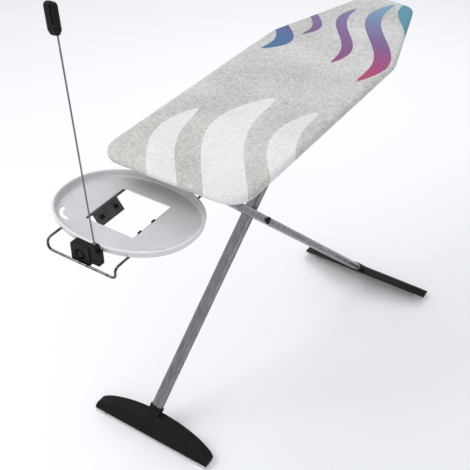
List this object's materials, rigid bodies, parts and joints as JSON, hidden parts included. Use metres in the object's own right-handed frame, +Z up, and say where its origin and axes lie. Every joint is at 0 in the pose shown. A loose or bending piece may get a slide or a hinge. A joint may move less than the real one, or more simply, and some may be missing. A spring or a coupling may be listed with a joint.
{
  "type": "ironing board",
  "caption": "Folding ironing board with a padded fabric cover, crossed flat-oval tube legs on bar feet, a wire-carried iron rest tray and an upright cable rod",
  "frame": {"origin": "on the floor, below the middle of the board's blunt end", "axes": "+X from the blunt end to the nose, +Y to the side the tray is offset to, +Z up"},
  "size_m": [1.4334, 0.6435, 1.4244],
  "materials": {
    "fabric_cover": "woven",
    "deck_paint": "satin",
    "tube_steel": "brushed",
    "pin_steel": "satin",
    "wire_chrome": "polished",
    "tray_paint": "satin",
    "dark_steel": "satin",
    "black_plastic": "matte",
    "pad_rubber": "matte"
  },
  "bodies": {
    "board": {"cover": "fabric_cover", "deck": "deck_paint", "rail_left": "dark_steel", "rail_right": "dark_steel", "lug_left": "dark_steel", "lug_right": "dark_steel", "guide_left": "black_plastic", "guide_right": "black_plastic", "rest_wire": "wire_chrome", "tray": "tray_paint", "stop_bracket_left": "dark_steel", "stop_bracket_right": "dark_steel", "clamp_body": "black_plastic", "clamp_jaw": "black_plastic", "clamp_knob": "black_plastic", "bracket_bolt_left_1": "black_plastic", "bracket_bolt_left_2": "black_plastic", "bracket_bolt_right_1": "black_plastic", "bracket_bolt_right_2": "black_plastic"},
    "leg_b": {"leg_b_tube": "tube_steel", "leg_b_axle": "pin_steel", "foot_b": "black_plastic", "foot_b_pad_left": "pad_rubber", "foot_b_pad_right": "pad_rubber", "pivot_pin": "pin_steel", "pivot_cap": "black_plastic", "pivot_washer": "black_plastic"},
    "leg_a": {"leg_a_tube": "tube_steel", "leg_a_axle": "pin_steel", "foot_a": "black_plastic", "foot_a_pad_left": "pad_rubber", "foot_a_pad_right": "pad_rubber"},
    "cable_rod": {"rod": "pin_steel", "rod_clip": "black_plastic"}
  },
  "joints": [
    {"name": "leg_b_hinge", "type": "hinge", "parent": "board", "child": "leg_b", "pos_m": [0.08412, 0, 0.905], "axis": [0, -1, 0], "range_deg": [0, 12]},
    {"name": "crossing_hinge", "type": "hinge", "parent": "leg_b", "child": "leg_a", "pos_m": [0.398, 0, 0.604], "axis": [0, 1, 0], "range_deg": [0, 29.1]},
    {"name": "rod_turn", "type": "hinge", "parent": "board", "child": "cable_rod", "pos_m": [-0.2151, 0.0277, 0.895], "axis": [0, 0.0578, 0.9983], "range_deg": [-90, 90]}
  ],
  "couplings": [
    {"joint": "crossing_hinge", "follows": "leg_b_hinge", "ratio": 2.42}
  ]
}
